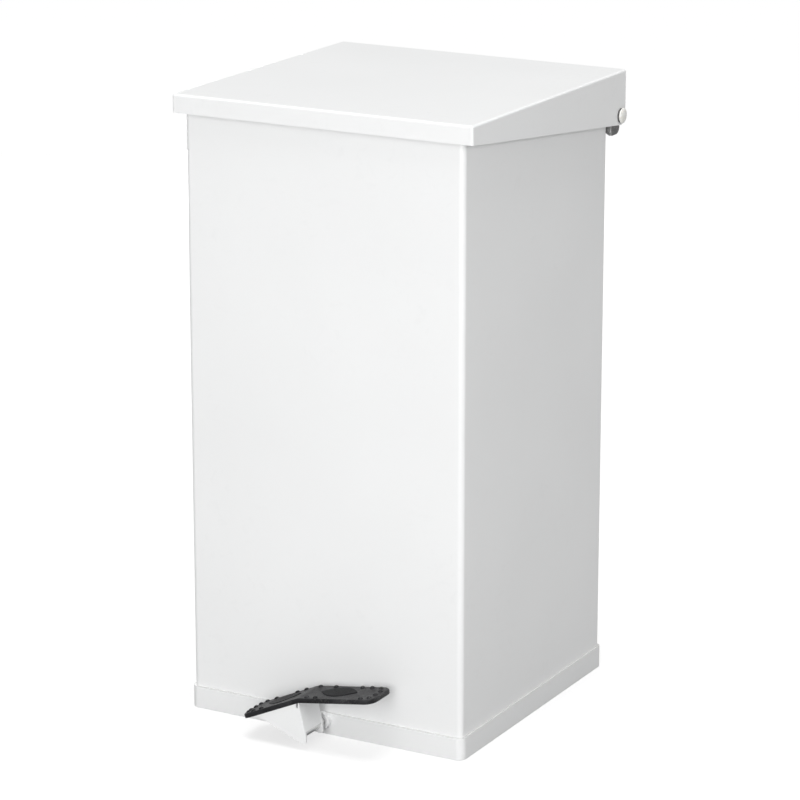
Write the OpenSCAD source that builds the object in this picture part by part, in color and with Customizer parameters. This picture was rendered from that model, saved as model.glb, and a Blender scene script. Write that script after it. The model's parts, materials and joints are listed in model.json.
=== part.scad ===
// Square steel pedal bin. A rocking pedal turns a long shaft under the floor,
// a crank at the back of the shaft lifts a rod, and the rod swings the lid open.
// +X runs along the front from left to right, +Y to the back, +Z up.
// The origin is the middle of the casing on the ground.

/* [Casing] */
// Width and depth of the square casing
casing_w = 385; // [370:1:400]
// Height of the casing's top edge above the ground
casing_h = 780; // [700:1:860]
// Outer radius of the casing's upright corners
casing_r = 7; // [5:0.5:10]
// Thickness of the casing and lid sheet
sheet_t = 1; // [0.8:0.1:1.2]
// Width of the flange folded inwards round the casing's mouth
rim_w = 16.5; // [16:0.5:18]

/* [Plinth] */
// Height of the plinth pan round the casing's foot
plinth_h = 29; // [28:1:34]
// Thickness of the plinth pan's wall
plinth_t = 3; // [2:0.5:4]
// Height of the raised floor above the pedal shaft
floor_h = 50; // [48:1:60]

/* [Liner] */
// Outer width and depth of the lift-out liner
liner_w = 344; // [320:1:345]
// Outer radius of the liner's upright corners
liner_r = 14; // [8:1:30]
// Thickness of the liner's galvanised sheet
liner_t = 0.8; // [0.6:0.1:1.2]

/* [Lid] */
// Overhang of the lid past each side of the casing
lid_side = 14; // [14:0.5:18]
// Overhang of the lid past the casing's front
lid_front = 6; // [4:0.5:12]
// Overhang of the lid past the casing's back
lid_back = 24; // [23:0.5:30]
// Height of the lid's top face above the casing's mouth
lid_rise = 12.5; // [12:0.5:16]
// Depth of the lid's front flange
lid_lip = 23.5; // [18:0.5:30]
// Fall of the side flanges' lower edge towards the back, in degrees
lid_fall = 6.5; // [5:0.1:7]
// Outer bend radius along the lid's top edges
lid_bend = 2.5; // [1.5:0.5:4]

/* [Hinge] */
// Distance of the hinge axis behind the casing's back face
hinge_gap = 7.5; // [7.5:0.5:9]
// Height of the hinge axis below the casing's mouth
hinge_drop = 44; // [42:1:46]
// Radius of the hinge bolt's shoulder
hinge_pin_r = 4; // [3.5:0.1:4.5]
// Radius of the domed cap over each hinge bolt
hinge_cap_r = 11; // [9:0.5:12]

/* [Pedal] */
// Height of the pedal shaft above the ground
shaft_z = 19; // [18:0.5:22]
// Radius of the pedal shaft
shaft_r = 6; // [5:0.5:6]
// Height of the tread's underside at its bend
tread_z = 61.3; // [60:0.1:64]
// Length of the tread's lower, left wing
wing_left = 90; // [80:1:92]
// Length of the tread's upper, right wing
wing_right = 106; // [95:1:112]
// Slope of the left wing at rest, in degrees
slope_left = 24.6; // [20:0.1:26]
// Slope of the right wing at rest, in degrees
slope_right = 9.1; // [6:0.1:12]
// Depth of the tread from front to back
tread_d = 53.5; // [48:0.5:54]
// Thickness of the rubber tread
tread_t = 6; // [5:0.5:7]

/* [Hidden] */
$fn = 64;
bite = 1;              // how far a cutting shape runs past the face it cuts
run_gap = 0.06;        // radial clearance of every shaft in its bore

paint = [0.93, 0.93, 0.92];
zinc = [0.72, 0.73, 0.74];
steel = [0.58, 0.59, 0.60];
rubber = [0.12, 0.12, 0.13];
nylon = [0.85, 0.85, 0.82];
cream = [0.95, 0.94, 0.90];

// Casing and plinth
half_w = casing_w / 2;
wall_in = half_w - sheet_t;
plinth_w = casing_w + 2 * plinth_t;
plinth_bevel = 1.5;
pan_t = 1.5;
mouth_w = casing_w - 2 * sheet_t - 2 * rim_w;
mouth_r = 5;
mouth_lip = 12;
seam_w = 14;

// Hinge
hinge_y = half_w + hinge_gap;
hinge_z = casing_h - hinge_drop;
bracket_t = 2.5;
ear_out = half_w + 6;
ear_in = ear_out - bracket_t;
ear_back = 14.5;       // reach of the ear behind the hinge axis
ear_down = 26;         // reach of the ear below the hinge axis
ear_up = 14;           // reach of the ear above the hinge axis
ear_round = 9;
thread_r = 3;
lid_bush_r = 6;
bracket_w = 46;

// Lid
lid_w = casing_w + 2 * lid_side;
lid_y0 = -half_w - lid_front;
lid_y1 = half_w + lid_back;
lid_z = casing_h + lid_rise;
lid_round = 14;        // radius of the side flanges' lower back corner
lid_corner = 3;
back_lip = 37;         // depth of the lid's back flange
flange_in = lid_w / 2 - sheet_t;

// Lift gear: both pins ride in level slots at the ends of the rod
swing = 28;            // turn of the pedal, in degrees
crank_r = 45;
crank_rest = 8;        // the crank's fall below level at rest, in degrees
lift = crank_r * (sin(swing - crank_rest) + sin(crank_rest));
lever_rest = 35;       // the lever's fall below level at rest, in degrees
lever_r = lift / (2 * sin(lever_rest));
rod_r = 4;
rod_x = -crank_r;
rod_y = half_w - 9.5;
crank_x = -crank_r * cos(crank_rest);
crank_z = shaft_z - crank_r * sin(crank_rest);
lever_y = hinge_y - lever_r * cos(lever_rest);
lever_z = hinge_z - lever_r * sin(lever_rest);
foot_pin_r = 4;
head_pin_r = 3;
slot_gap = 0.4;        // clearance over and under a pin in its slot
pin_end = 2.4;         // how far the crank pin runs past the rod's foot
foot_slot_x = -crank_r * (1 + cos(swing - crank_rest)) / 2;
foot_slot = 2 * foot_pin_r + crank_r * (1 - cos(swing - crank_rest)) + 1;
head_slot_y = hinge_y - lever_r * (1 + cos(lever_rest)) / 2;
head_slot = 2 * head_pin_r + lever_r * (1 - cos(lever_rest)) + 1;
foot_w = foot_slot + 7;
foot_y0 = rod_y - 4.5;
foot_y1 = rod_y + 4.5;
foot_z0 = crank_z - foot_pin_r - 4;
foot_z1 = crank_z + foot_pin_r + 7;
head_w = head_slot + 4.6;
head_t = 5;
head_z0 = lever_z - head_pin_r - 6;
head_z1 = lever_z + head_pin_r + 3.5;
lever_x0 = rod_x + head_t / 2 + 1;
lever_x1 = lever_x0 + 3;
lever_foot_y0 = half_w - 20;
lever_foot_y1 = half_w - 3;
notch_w = 26;
notch_z = head_z0 - 4;

// Pedal shaft and crank
shaft_y1 = half_w - 14.5;
crank_y0 = half_w - 21.5;
crank_y1 = half_w - 16.5;
crank_hub_r = 11;
crank_hub_y = crank_y0 - 5;
crank_tip_r = 7.5;
roll_pin_r = 2;
boss_r = 11;
boss_len = 8;
bearing_r = 9;
bearing_end = -half_w + 12;
bush_r = 8;
rear_bearing_y = half_w - 42;
bearing_foot_w = 44;
bearing_foot_d = 20;
bearing_screw_places = [for (s = [-1, 1]) [s * 16, rear_bearing_y - 11]];
collar_y = -half_w + 15;
collar_w = 10;

// Tread and its bracket
tread_y0 = -half_w - 65.5;
plate_t = 2;
plate_in = 3;          // how far the steel plate stays inside the rubber
flange_t = 2.5;
bracket_y0 = tread_y0 + 0.8;
bracket_y1 = bracket_y0 + 43;
shaft_y0 = bracket_y0 + flange_t;
wing_round = 9;
stud_r = 2.6;
stud_h = 1.4;

// Raised studs on each wing: [share of the wing's length, share of the tread's depth]
studs_right = [
    [0.91, 0.19], [0.93, 0.41], [0.93, 0.64], [0.89, 0.84], [0.79, 0.9], [0.68, 0.91],
    [0.55, 0.91], [0.42, 0.91], [0.28, 0.91], [0.15, 0.91], [0.06, 0.82], [0.08, 0.15],
    [0.19, 0.1], [0.81, 0.11]
];
studs_left = [
    [0.91, 0.19], [0.93, 0.41], [0.93, 0.64], [0.89, 0.84], [0.78, 0.9], [0.64, 0.91],
    [0.49, 0.91], [0.33, 0.91], [0.18, 0.91], [0.8, 0.13], [0.67, 0.1]
];

// Bracket outline seen from the front, about the shaft's axis
bracket_tip = [-60, 0];
tip_drop = [4.5, -10.2];
edge_foot = [10, -9];
edge_knee = [10, 1];
web_foot_z = 24;

// Lid buffers
buffer_r = 4;
buffer_x = half_w - 38;
buffer_y = -half_w + 6.5;
buffer_gap = 0.2;

// Rivets of the hinge brackets and the rod guides
rivet_r = 2.4;
rivet_head_r = 4.5;
rivet_head_h = 2;
hinge_rivets = [[-1, half_w - 35], [-1, half_w - 18], [1, half_w - 35], [1, half_w - 18]];
hinge_rivet_dz = 9;
hinge_rivet_z = hinge_z - 1.5;
guide_z = [110, 640];
guide_w = 44;
guide_h = 16;
guide_t = 2;
guide_rivet_dx = 15;
hinge_rivet_places = [
    for (p = hinge_rivets, s = [-1, 1])
        [p[0] * p[1], 0, hinge_rivet_z + s * hinge_rivet_dz]
];
guide_rivet_places = [
    for (z = guide_z, s = [-1, 1])
        [rod_x + s * guide_rivet_dx, 0, z]
];

// ---- shared shapes ----

// Points of an arc about c, from angle a0 to a1
function arc(c, r, a0, a1, n) = [
    for (i = [0 : n])
        c + r * [cos(a0 + (a1 - a0) * i / n), sin(a0 + (a1 - a0) * i / n)]
];

// Flat rectangle with round corners, about the origin
module rounded_rect(w, d, r) {
    square([w - 2 * r, d], center = true);
    square([w, d - 2 * r], center = true);
    for (x = [-1, 1], y = [-1, 1])
        translate([x * (w / 2 - r), y * (d / 2 - r)])
            circle(r = r);
}

// Upright tube with a round-cornered square outline
module square_tube(w, r, t, z0, z1) {
    translate([0, 0, z0])
        linear_extrude(z1 - z0)
            difference() {
                rounded_rect(w, w, r);
                rounded_rect(w - 2 * t, w - 2 * t, r - t);
            }
}

// Cylinder along Y from y0 to y1
module rod_y_dir(r, y0, y1) {
    translate([0, y0, 0])
        rotate([-90, 0, 0])
            cylinder(r = r, h = y1 - y0);
}

// Cylinder along X from x0 to x1
module rod_x_dir(r, x0, x1) {
    translate([x0, 0, 0])
        rotate([0, 90, 0])
            cylinder(r = r, h = x1 - x0);
}

// Stretch a flat outline drawn in Y and Z along X, from x0 to x1
module along_x(x0, x1) {
    translate([x0, 0, 0])
        rotate([90, 0, 90])
            linear_extrude(x1 - x0)
                children();
}

// Stretch a flat outline drawn in X and Z along Y, from y0 to y1
module along_y(y0, y1) {
    translate([0, y1, 0])
        rotate([90, 0, 0])
            linear_extrude(y1 - y0)
                children();
}

// Block from corner a to corner b
module block(a, b) {
    translate(a)
        cube(b - a);
}

// Flat slot with round ends, along the outline's first axis
module flat_slot(len, r) {
    square([len - 2 * r, 2 * r], center = true);
    for (s = [-1, 1])
        translate([s * (len / 2 - r), 0])
            circle(r = r);
}

// Copies of the children at each place of a list
module at_each(places) {
    for (p = places)
        translate(p)
            children();
}

module on_shaft() {
    translate([0, 0, shaft_z])
        children();
}

module on_hinge() {
    translate([0, hinge_y, hinge_z])
        children();
}

// Blind rivet through a wall and a plate, its domed head at head_y
module rivet(head_y, tail_y) {
    rod_y_dir(rivet_r, tail_y, head_y);
    translate([0, head_y, 0])
        rotate([-90, 0, 0])
            intersection() {
                cylinder(r = rivet_head_r, h = rivet_head_h);
                translate([0, 0, rivet_head_h - 2 * rivet_head_r])
                    sphere(r = 2 * rivet_head_r);
            }
    rod_y_dir(rivet_r + 1, tail_y - 1.5, tail_y);
}

// ---- casing ----

module base_pan() {
    color(paint)
        difference() {
            intersection() {
                linear_extrude(plinth_h)
                    rounded_rect(plinth_w, plinth_w, casing_r + plinth_t);
                along_x(-half_w * 2, half_w * 2)
                    plinth_profile();
                along_y(-half_w * 2, half_w * 2)
                    plinth_profile();
            }
            translate([0, 0, pan_t])
                linear_extrude(plinth_h)
                    rounded_rect(casing_w, casing_w, casing_r);
            on_shaft()
                rod_y_dir(bearing_r, -half_w - 2 * plinth_t, -half_w + bite);
            for (p = bearing_screw_places)
                translate([p[0], p[1], -bite])
                    cylinder(r = rivet_r, h = pan_t + 2 * bite);
        }
}

// Side view of the plinth, with its bevelled top edge
module plinth_profile() {
    w = plinth_w / 2;
    b = plinth_bevel;
    polygon([[-w, 0], [w, 0], [w, plinth_h - b], [w - b, plinth_h],
             [b - w, plinth_h], [-w, plinth_h - b]]);
}

module body_shell() {
    color(paint)
        difference() {
            union() {
                square_tube(casing_w, casing_r, sheet_t, pan_t, casing_h);
                mouth_flange();
                back_seam();
            }
            // slot for the lid's lever, through the back wall and the flange
            block([rod_x - notch_w / 2, mouth_w / 2 - bite, notch_z],
                  [rod_x + notch_w / 2, half_w + bite, casing_h + bite]);
            on_shaft()
                rod_y_dir(bearing_r, -half_w - bite, -half_w + 2 * bite);
            at_each(concat(hinge_rivet_places, guide_rivet_places))
                rod_y_dir(rivet_r, wall_in - bite, half_w + bite);
        }
}

module mouth_flange() {
    translate([0, 0, casing_h - sheet_t])
        linear_extrude(sheet_t)
            difference() {
                rounded_rect(casing_w, casing_w, casing_r);
                rounded_rect(mouth_w, mouth_w, mouth_r);
            }
    square_tube(mouth_w + 2 * sheet_t, mouth_r + sheet_t, sheet_t, casing_h - mouth_lip, casing_h);
}

// Lap where the casing's single sheet meets itself, at the middle of the back
module back_seam() {
    block([-seam_w / 2, half_w, plinth_h],
          [seam_w / 2, half_w + sheet_t, casing_h - 30]);
}

module floor_pan() {
    lip = 14;
    color(zinc)
        difference() {
            union() {
                translate([0, 0, floor_h - sheet_t])
                    linear_extrude(sheet_t)
                        rounded_rect(2 * wall_in, 2 * wall_in, casing_r - sheet_t);
                square_tube(2 * wall_in, casing_r - sheet_t, sheet_t, floor_h - lip, floor_h);
            }
            translate([rod_x, rod_y, 0])
                cylinder(r = rod_r + 1.5, h = floor_h + bite);
        }
}

module liner() {
    z0 = floor_h + 2;
    z1 = casing_h + liner_t;
    edge = liner_w / 2 + 8.5;
    grip_z = casing_h - 34;
    color(zinc)
        difference() {
            union() {
                square_tube(liner_w, liner_r, liner_t, z0, z1);
                translate([0, 0, z0])
                    linear_extrude(liner_t)
                        rounded_rect(liner_w, liner_w, liner_r);
                translate([0, 0, casing_h])
                    linear_extrude(liner_t)
                        difference() {
                            rounded_rect(2 * edge, 2 * edge, liner_r + 4);
                            rounded_rect(liner_w - 2, liner_w - 2, liner_r - 1);
                        }
            }
            // room for the lid's lever behind the liner
            block([rod_x - notch_w / 2 - 2, liner_w / 2, casing_h - bite],
                  [rod_x + notch_w / 2 + 2, edge + bite, z1 + bite]);
            // hand grips through the two side walls
            translate([0, 0, grip_z])
                along_x(-liner_w, liner_w)
                    flat_slot(100, 13);
        }
}

module lid_buffers() {
    color(rubber)
        for (s = [-1, 1])
            translate([s * buffer_x, buffer_y, casing_h])
                cylinder(r = buffer_r, h = lid_rise - sheet_t - buffer_gap);
}

// ---- shaft bearings ----

module front_bearing() {
    color(paint)
        on_shaft()
            difference() {
                union() {
                    rod_y_dir(bearing_r, -half_w - plinth_t, bearing_end);
                    rod_y_dir(boss_r, -half_w - plinth_t - boss_len, -half_w - plinth_t);
                }
                rod_y_dir(shaft_r + run_gap, -half_w - plinth_t - boss_len - bite,
                          bearing_end + bite);
            }
}
module rear_bearing_bracket() {
    w = bearing_foot_w / 2;
    y1 = rear_bearing_y + 1.5;
    y0 = y1 - bearing_foot_d;
    color(zinc)
        difference() {
            union() {
                block([-w, y0, pan_t], [w, y1, pan_t + 3]);
                on_shaft()
                    rod_y_dir(13, y1 - 3, y1);
                block([-13, y1 - 3, pan_t], [13, y1, shaft_z]);
            }
            on_shaft()
                rod_y_dir(bush_r, y1 - 3 - bite, y1 + bite);
            for (p = bearing_screw_places)
                translate([p[0], p[1], 0])
                    cylinder(r = rivet_r, h = 2 * pan_t + 3);
        }
}

module rear_bush() {
    color(nylon)
        on_shaft()
            difference() {
                union() {
                    rod_y_dir(bush_r, rear_bearing_y - 5, rear_bearing_y + 4);
                    rod_y_dir(bush_r + 2.5, rear_bearing_y - 3.5, rear_bearing_y - 1.5);
                }
                rod_y_dir(shaft_r + run_gap, rear_bearing_y - 6, rear_bearing_y + 5);
            }
}

module bearing_screws() {
    color(steel)
        for (p = bearing_screw_places)
            translate([p[0], p[1], 0]) {
                cylinder(r = rivet_r, h = pan_t + 3);
                translate([0, 0, pan_t + 3])
                    cylinder(r = 4, h = 3, $fn = 6);
            }
}

// ---- hinge, drawn for the right side and mirrored for the left ----

module both_hands(side) {
    if (side < 0)
        mirror([1, 0, 0])
            children();
    else
        children();
}

// Plan of the bent bracket: a base on the back wall and an ear behind it
module bracket_plan() {
    x0 = ear_out - bracket_w;
    y0 = half_w;
    t = bracket_t;
    difference() {
        union() {
            translate([x0, y0])
                square([bracket_w - t, t]);
            translate([ear_in, y0 + t])
                square([t, hinge_gap + ear_back - t]);
            translate([ear_in, y0 + t])
                circle(r = t);
        }
        translate([ear_in - 2 * t, y0 + t])
            square([2 * t, 2 * t]);
    }
}

// Side view of the ear, round at its two free corners
module ear_outline() {
    y1 = hinge_y + ear_back;
    z0 = hinge_z - ear_down;
    z1 = hinge_z + ear_up;
    r = ear_round;
    y0 = half_w - bite;
    translate([y0, z0])
        square([y1 - r - y0, z1 - z0]);
    translate([y0, z0 + r])
        square([y1 - y0, z1 - z0 - 2 * r]);
    for (z = [z0 + r, z1 - r])
        translate([y1 - r, z])
            circle(r = r);
}

// Front view of the bracket, its lower edge rising away from the ear
module bracket_outline() {
    x0 = ear_out - bracket_w;
    z0 = hinge_z - ear_down;
    z1 = hinge_z + ear_up;
    polygon([[x0, z0 + 11], [ear_out - 14, z0 + 6], [ear_out - 4, z0], [ear_out + bite, z0],
             [ear_out + bite, z1], [x0, z1]]);
}

module hinge_bracket(side) {
    color(steel)
        both_hands(side)
            difference() {
                intersection() {
                    translate([0, 0, hinge_z - 2 * ear_down])
                        linear_extrude(4 * ear_down)
                            bracket_plan();
                    along_x(0, ear_out + bite)
                        ear_outline();
                    along_y(half_w - bite, hinge_y + ear_back + bite)
                        bracket_outline();
                }
                on_hinge()
                    rod_x_dir(thread_r, ear_in - bite, ear_out + bite);
                for (p = hinge_rivet_places)
                    if (p[0] > 0)
                        translate(p)
                            rod_y_dir(rivet_r, half_w - bite, half_w + bracket_t + bite);
            }
}

module hinge_bolt(side) {
    head_x = lid_w / 2 + 1.2;
    color(steel)
        both_hands(side)
            on_hinge() {
                rod_x_dir(thread_r, ear_in - 6.5, ear_out);
                rod_x_dir(hinge_pin_r, ear_out, head_x);
                rod_x_dir(7, head_x, head_x + 3);
            }
}

module hinge_cap(side) {
    base_x = lid_w / 2 + 1.2;
    depth = 5;
    edge = 2;
    r = hinge_cap_r;
    crown_r = 45;
    color(cream)
        both_hands(side)
            on_hinge()
                translate([base_x, 0, 0])
                    rotate([0, 90, 0])
                        rotate_extrude()
                            difference() {
                                intersection() {
                                    union() {
                                        square([r - 0.5, depth]);
                                        square([r, depth - edge]);
                                        translate([r - edge, depth - edge])
                                            circle(r = edge);
                                    }
                                    translate([0, depth - crown_r])
                                        circle(r = crown_r, $fn = 180);
                                    square([r, depth]);
                                }
                                square([7, 3]);
                            }
}

module hinge_nuts() {
    color(steel)
        for (s = [-1, 1])
            both_hands(s)
                on_hinge()
                    difference() {
                        translate([ear_in - 5, 0, 0])
                            rotate([0, 90, 0])
                                cylinder(r = 5 / cos(30), h = 5, $fn = 6);
                        rod_x_dir(thread_r, ear_in - 6, ear_in + bite);
                    }
}

module hinge_spacers() {
    color(nylon)
        for (s = [-1, 1])
            both_hands(s)
                on_hinge()
                    difference() {
                        rod_x_dir(7, ear_out, flange_in - 2.3);
                        rod_x_dir(hinge_pin_r, ear_out - bite, flange_in);
                    }
}

module bracket_rivets() {
    color(steel)
        at_each(hinge_rivet_places)
            rivet(half_w + bracket_t, wall_in);
}

// ---- guides of the lift rod, on the inside of the back wall ----

module rod_guide(z) {
    ledge_y = rod_y - 9;
    color(zinc)
        difference() {
            union() {
                block([rod_x - guide_w / 2, wall_in - guide_t, z - guide_h / 2],
                      [rod_x + guide_w / 2, wall_in, z + guide_h / 2]);
                block([rod_x - 9, ledge_y, z + guide_h / 2 - 3],
                      [rod_x + 9, wall_in - guide_t, z + guide_h / 2]);
            }
            translate([rod_x, rod_y, z])
                cylinder(r = rod_r + run_gap, h = guide_h);
            at_each(guide_rivet_places)
                rod_y_dir(rivet_r, wall_in - guide_t - bite, wall_in + bite);
        }
}

module guide_rivets() {
    color(steel)
        at_each(guide_rivet_places)
            rivet(half_w, wall_in - guide_t);
}

// ---- pedal ----

module pedal_shaft() {
    color(steel)
        difference() {
            on_shaft()
                rod_y_dir(shaft_r, shaft_y0, shaft_y1);
            roll_pin_bodies();
        }
}

module roll_pin_bodies() {
    for (y = [collar_y + collar_w / 2, crank_hub_y + 2.5])
        translate([0, y, shaft_z - crank_hub_r])
            cylinder(r = roll_pin_r, h = 2 * crank_hub_r);
}

module roll_pins() {
    color(steel)
        roll_pin_bodies();
}

module shaft_collar() {
    color(zinc)
        difference() {
            on_shaft()
                difference() {
                    rod_y_dir(crank_hub_r, collar_y, collar_y + collar_w);
                    rod_y_dir(shaft_r, collar_y - bite, collar_y + collar_w + bite);
                }
            roll_pin_bodies();
        }
}

// Front view of the crank, about the shaft's axis
module crank_outline() {
    p = [crank_x, crank_z - shaft_z];
    a = atan2(p[1], p[0]);
    circle(r = crank_hub_r);
    translate(p)
        circle(r = crank_tip_r);
    rotate(a)
        polygon([[0, -crank_hub_r + 2], [crank_r, -crank_tip_r],
                 [crank_r, crank_tip_r], [0, crank_hub_r - 2]]);
}

module crank_arm() {
    color(zinc)
        difference() {
            union() {
                on_shaft()
                    along_y(crank_y0, crank_y1)
                        crank_outline();
                on_shaft()
                    rod_y_dir(crank_hub_r, crank_hub_y, crank_y0);
            }
            on_shaft()
                rod_y_dir(shaft_r, crank_hub_y - bite, crank_y1 + bite);
            translate([crank_x, 0, crank_z])
                rod_y_dir(foot_pin_r, crank_y0 - bite, crank_y1 + bite);
            roll_pin_bodies();
        }
}

module crank_pin() {
    color(steel)
        translate([crank_x, 0, crank_z])
            rod_y_dir(foot_pin_r, crank_y0, foot_y1 + pin_end);
}

module crank_pin_clip() {
    color(steel)
        translate([crank_x, 0, crank_z])
            difference() {
                rod_y_dir(foot_pin_r + 2.5, foot_y1 + 0.8, foot_y1 + 1.8);
                rod_y_dir(foot_pin_r, foot_y1, foot_y1 + 3);
            }
}

// Front view of the bent tread, its underside's bend at the origin
module tread_outline(left, right, t) {
    a = slope_right;
    b = slope_left;
    right_end = right * [cos(a), sin(a)];
    left_end = -left * [cos(b), sin(b)];
    polygon(concat([[0, 0], right_end, right_end + t * [-sin(a), cos(a)]],
                   arc([0, 0], t, 90 + a, 90 + b, 4),
                   [left_end + t * [-sin(b), cos(b)], left_end]));
}

// Plan of the tread with round corners
module tread_plan(left, right, d, r) {
    x0 = -left * cos(slope_left) - tread_t * sin(slope_left);
    x1 = right * cos(slope_right);
    translate([x0 + r, 0])
        square([x1 - x0 - 2 * r, d]);
    translate([x0, r])
        square([x1 - x0, d - 2 * r]);
    for (x = [x0 + r, x1 - r], y = [r, d - r])
        translate([x, y])
            circle(r = r);
}

// Sheet of thickness t bent to the tread's shape
module bent_sheet(left, right, y0, d, r, t) {
    intersection() {
        translate([0, 0, tread_z])
            along_y(y0, y0 + d)
                tread_outline(left, right, t);
        translate([0, y0, 0])
            linear_extrude(2 * tread_z)
                tread_plan(left, right, d, r);
    }
}

module pedal_plate() {
    color(steel)
        plate_body();
}

module plate_body() {
    bent_sheet(wing_left - plate_in, wing_right - plate_in, tread_y0 + plate_in,
               tread_d - 2 * plate_in, wing_round - plate_in, plate_t);
}

module studs(places, wing) {
    for (p = places)
        translate([p[0] * wing, p[1] * tread_d, tread_t - bite])
            cylinder(r = stud_r, h = stud_h + bite);
}

module pedal_pad() {
    color(rubber)
        difference() {
            union() {
                bent_sheet(wing_left, wing_right, tread_y0, tread_d, wing_round, tread_t);
                translate([0, tread_y0, tread_z]) {
                    rotate([0, -slope_right, 0])
                        studs(studs_right, wing_right);
                    mirror([1, 0, 0])
                        rotate([0, slope_left, 0])
                            studs(studs_left, wing_left);
                }
            }
            plate_body();
        }
}

// Outline of the bracket's two flanges, under the left wing, about the origin
module flange_outline() {
    tip_z = tread_z + bracket_tip[0] * tan(slope_left);
    polygon([[bracket_tip[0], tip_z], [0, tread_z],
             edge_knee + [0, shaft_z], edge_foot + [0, shaft_z], tip_drop + [0, shaft_z]]);
}

// Sloping strip under the flanges' right-hand edge, down to the web's foot
module web_outline() {
    top = [0, tread_z];
    low = edge_knee + [0, shaft_z];
    dir = (low - top) / norm(low - top);
    side = [dir[1], -dir[0]];
    intersection() {
        flange_outline();
        polygon([top, low, low + flange_t * side, top + flange_t * side]);
        translate([bracket_tip[0], web_foot_z])
            square([wing_right, tread_z]);
    }
}

module pedal_bracket() {
    color(paint)
        difference() {
            union() {
                along_y(bracket_y0, bracket_y0 + flange_t)
                    flange_outline();
                along_y(bracket_y1 - flange_t, bracket_y1)
                    flange_outline();
                along_y(bracket_y0 + flange_t, bracket_y1 - flange_t)
                    web_outline();
            }
            on_shaft()
                rod_y_dir(shaft_r, bracket_y0 + flange_t, bracket_y1 + bite);
        }
}

// ---- lift rod ----

module lift_rod() {
    color(zinc)
        translate([rod_x, rod_y, foot_z1])
            cylinder(r = rod_r, h = head_z0 - foot_z1);
}

module rod_foot() {
    color(steel)
        difference() {
            block([foot_slot_x - foot_w / 2, foot_y0, foot_z0],
                  [foot_slot_x + foot_w / 2, foot_y1, foot_z1]);
            translate([foot_slot_x, 0, crank_z])
                along_y(foot_y0 - bite, foot_y1 + bite)
                    flat_slot(foot_slot + 2 * slot_gap, foot_pin_r + slot_gap);
        }
}

module rod_head() {
    color(steel)
        difference() {
            block([rod_x - head_t / 2, head_slot_y - head_w / 2, head_z0],
                  [rod_x + head_t / 2, head_slot_y + head_w / 2, head_z1]);
            translate([0, head_slot_y, lever_z])
                along_x(rod_x - head_t, rod_x + head_t)
                    flat_slot(head_slot + 2 * slot_gap, head_pin_r + slot_gap);
        }
}

// ---- lid ----

// Side view of the lid, inset by the sheet's thickness for its inside
module lid_outline(inset, open_below) {
    y0 = lid_y0 + inset;
    y1 = lid_y1 - inset;
    z1 = lid_z - inset;
    r = lid_bend - inset;
    cy = lid_y1 - lid_round;
    lip_z = lid_z - lid_lip;
    cz = lip_z + (lid_round - (cy - lid_y0) * sin(lid_fall)) / cos(lid_fall);
    upper = concat(arc([y1 - r, z1 - r], r, 0, 90, 6), arc([y0 + r, z1 - r], r, 90, 180, 6));
    lower = open_below
        ? [[y0, hinge_z - 60], [y1, hinge_z - 60]]
        : concat([[y0, lip_z]], arc([cy, cz], lid_round, -90 - lid_fall, 0, 12));
    polygon(concat(upper, lower));
}

// Front view of the lid
module lid_front_view(inset) {
    w = lid_w / 2 - inset;
    z1 = lid_z - inset;
    r = lid_bend - inset;
    z0 = hinge_z - 60;
    polygon(concat([[-w, z0], [w, z0]], arc([w - r, z1 - r], r, 0, 90, 6),
                   arc([r - w, z1 - r], r, 90, 180, 6)));
}

module lid_solid(inset, open_below) {
    intersection() {
        along_x(-lid_w / 2 + inset, lid_w / 2 - inset)
            lid_outline(inset, open_below);
        along_y(lid_y0 + inset, lid_y1 - inset)
            lid_front_view(inset);
        translate([0, (lid_y0 + lid_y1) / 2, hinge_z - 60])
            linear_extrude(lid_z - hinge_z + 60)
                rounded_rect(lid_w - 2 * inset, lid_y1 - lid_y0 - 2 * inset, lid_corner - inset);
    }
}

module lid_shell() {
    color(paint)
        difference() {
            lid_solid(0, false);
            lid_solid(sheet_t, true);
            // the back flange stops short, so that it clears the ears as the lid turns
            block([-flange_in + lid_corner, lid_y1 - 2 * sheet_t, hinge_z - 60],
                  [flange_in - lid_corner, lid_y1 + bite, lid_z - back_lip]);
            on_hinge()
                rod_x_dir(lid_bush_r, -lid_w, lid_w);
        }
}
module lid_bush(side) {
    color(nylon)
        both_hands(side)
            on_hinge()
                difference() {
                    union() {
                        rod_x_dir(lid_bush_r, flange_in, lid_w / 2);
                        rod_x_dir(9, flange_in - 2, flange_in);
                        rod_x_dir(9, lid_w / 2, lid_w / 2 + 1);
                    }
                    rod_x_dir(hinge_pin_r + run_gap, flange_in - 3, lid_w);
                }
}

// The lever: a plate down from the lid's top to the pin in the rod's head
module lever_outline() {
    boss = 6;
    top = lid_z - sheet_t;
    polygon([[lever_foot_y0, top], [lever_foot_y0, top - 12],
             [lever_y - boss, lever_z], [lever_y + boss, lever_z],
             [lever_foot_y1, top - 12], [lever_foot_y1, top]]);
    translate([lever_y, lever_z])
        circle(r = boss);
}

module lid_lever() {
    top = lid_z - sheet_t;
    color(zinc)
        difference() {
            union() {
                along_x(lever_x0, lever_x1)
                    lever_outline();
                block([lever_x1, lever_foot_y0, top - 3], [lever_x1 + 20, lever_foot_y1, top]);
            }
            translate([0, lever_y, lever_z])
                rod_x_dir(head_pin_r, lever_x0 - bite, lever_x1 + bite);
        }
}

module lever_pin() {
    color(steel)
        translate([0, lever_y, lever_z])
            rod_x_dir(head_pin_r, rod_x - head_t / 2 - 3, lever_x1);
}

module lever_pin_clip() {
    x0 = rod_x - head_t / 2 - 2;
    color(steel)
        translate([0, lever_y, lever_z])
            difference() {
                rod_x_dir(head_pin_r + 2, x0, x0 + 1);
                rod_x_dir(head_pin_r, x0 - bite, x0 + 1 + bite);
            }
}

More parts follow.
